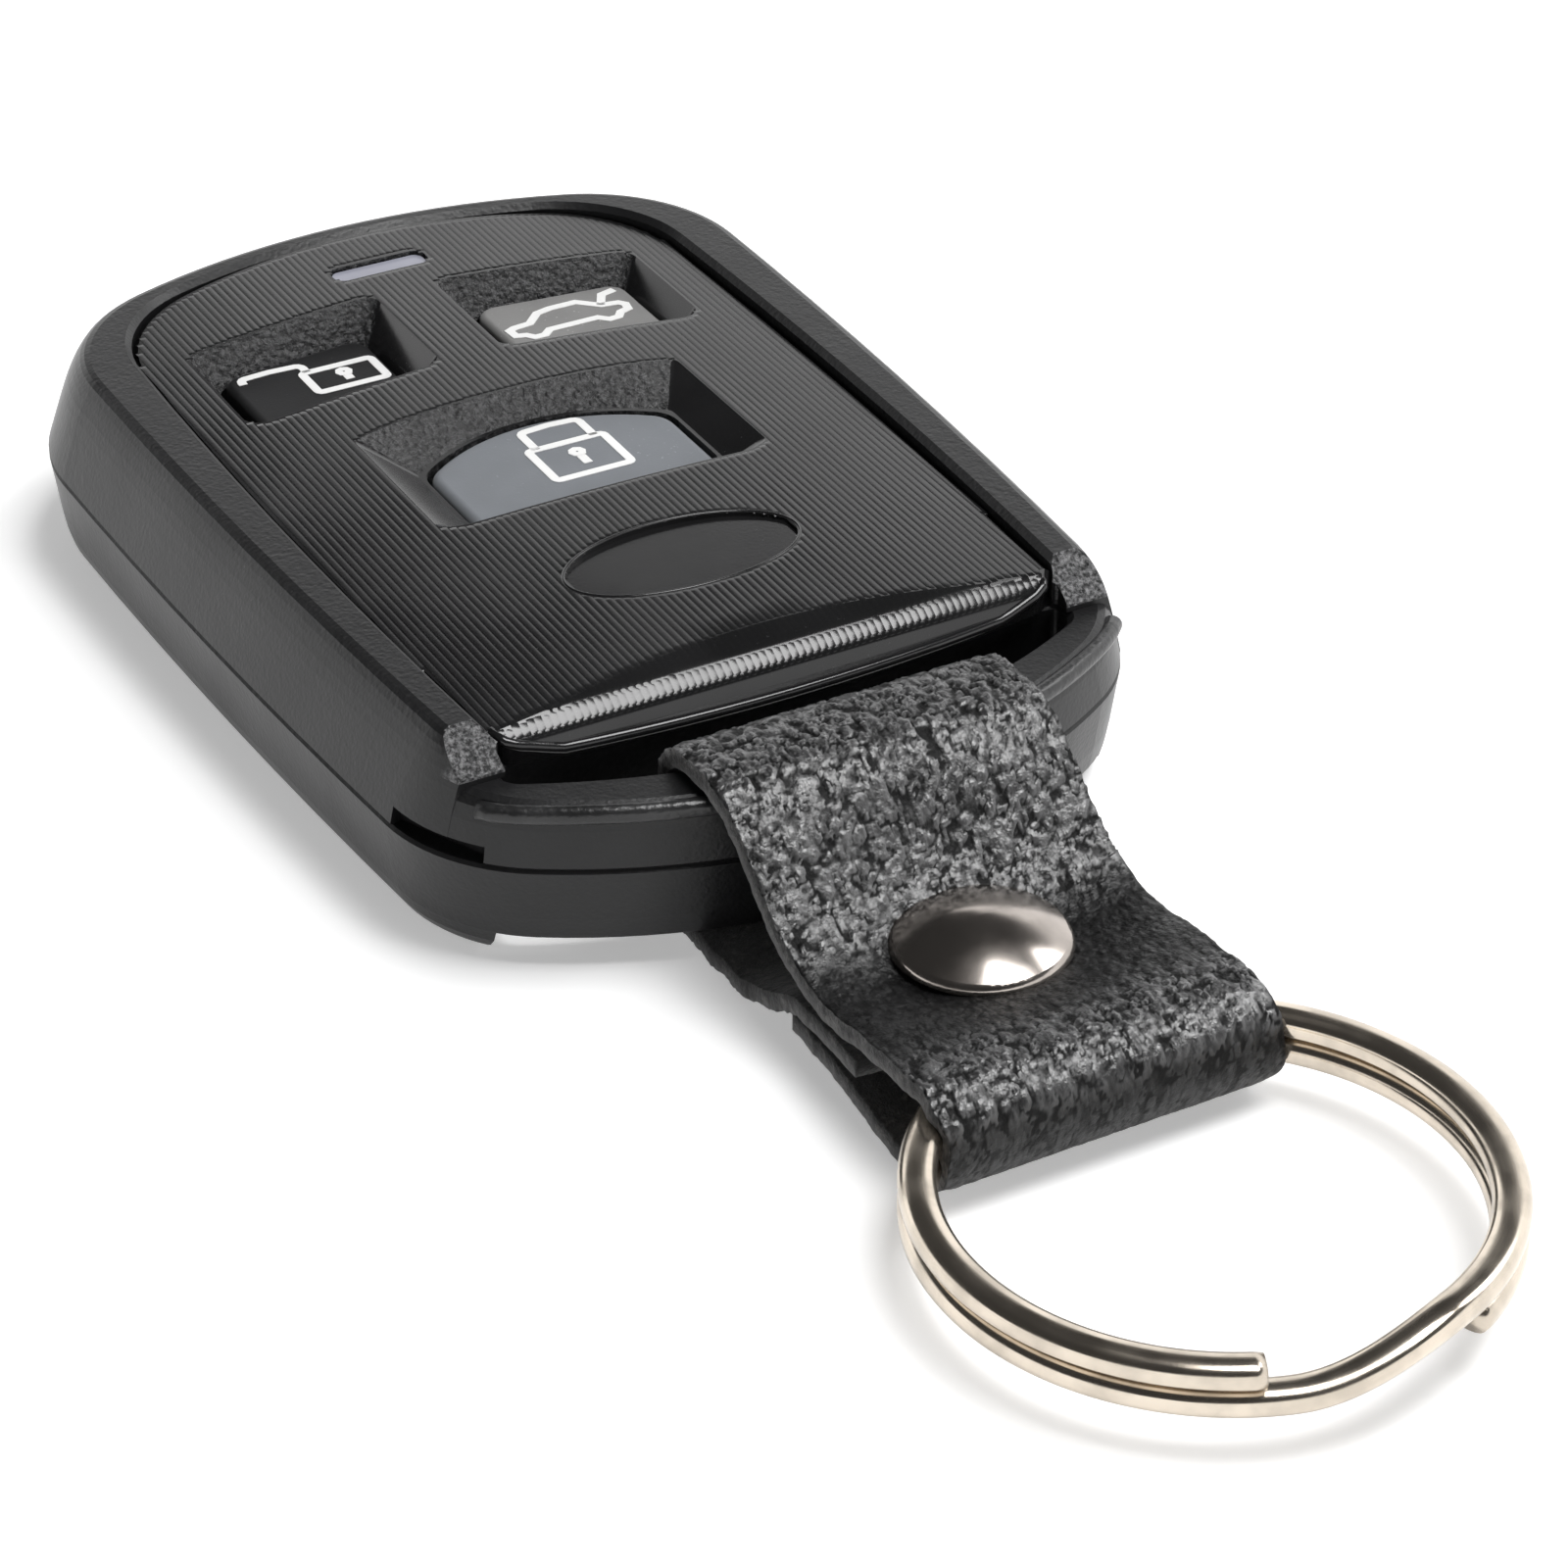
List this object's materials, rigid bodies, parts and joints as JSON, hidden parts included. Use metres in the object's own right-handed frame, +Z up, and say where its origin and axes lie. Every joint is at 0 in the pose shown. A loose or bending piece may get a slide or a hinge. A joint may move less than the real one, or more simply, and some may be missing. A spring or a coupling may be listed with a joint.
{
  "type": "car remote with strap and key ring",
  "caption": "Car remote in a two-shell plastic case with sunken keys, tied by a riveted leather strap round its end bar to a split key ring.",
  "frame": {"origin": "middle of the case's flat underside, on the table", "axes": "+Y towards the lamp end of the case, -Y towards strap and ring, +Z up through the keys"},
  "size_m": [0.039, 0.0962, 0.0104],
  "materials": {
    "shell": "fine moulded texture, charcoal",
    "face": "finely ribbed lengthwise, charcoal",
    "key_grey": "smooth blue-grey silicone",
    "key_dark": "smooth black silicone",
    "lamp_clear": "clear window",
    "board": "solder mask",
    "steel": "bright",
    "plunger": "smooth",
    "chip": "moulded",
    "lamp_white": "moulded",
    "capacitor": "ceramic",
    "leather": "coarse black grain, raw edges",
    "nickel": "polished dark nickel",
    "ring_nickel": "bright warm nickel"
  },
  "bodies": {
    "case": {"upper_shell": "shell", "lower_shell": "shell", "face_panel": "face", "keypad_mat": "key_dark", "light_pipe": "lamp_clear", "circuit_board": "board", "lock_switch": "steel", "unlock_switch": "steel", "trunk_switch": "steel", "control_chip": "chip", "resonator_can": "steel", "indicator_lamp": "lamp_white", "chip_capacitors": "capacitor", "coin_cell": "steel", "positive_contact": "steel", "negative_contact": "steel", "strap_loop": "leather"},
    "lock_button": {"lock_key": "key_grey", "lock_plunger": "plunger"},
    "unlock_button": {"unlock_key": "key_dark", "unlock_plunger": "plunger"},
    "trunk_button": {"trunk_key": "key_dark", "trunk_plunger": "plunger"},
    "strap": {"strap_end": "leather", "rivet_cap": "nickel", "rivet_base": "nickel"},
    "ring": {"split_ring": "ring_nickel"}
  },
  "joints": [
    {"name": "lock_press", "type": "slide", "parent": "case", "child": "lock_button", "axis": [0, 0, -1], "range_m": [0, 0.00025], "stiffness_N_per_m": 4000},
    {"name": "unlock_press", "type": "slide", "parent": "case", "child": "unlock_button", "axis": [0, 0, -1], "range_m": [0, 0.00025], "stiffness_N_per_m": 4000},
    {"name": "trunk_press", "type": "slide", "parent": "case", "child": "trunk_button", "axis": [0, 0, -1], "range_m": [0, 0.00025], "stiffness_N_per_m": 4000},
    {"name": "strap_flex", "type": "hinge", "parent": "case", "child": "strap", "pos_m": [0.00055, -0.0324, 0.0025], "axis": [-1, 0, 0], "range_deg": [-60, 60]},
    {"name": "ring_swing", "type": "hinge", "parent": "strap", "child": "ring", "pos_m": [0.00055, -0.04476, 0.00291], "axis": [-1, 0, 0], "range_deg": [-25, 30], "deforming": ["strap_end"]}
  ]
}
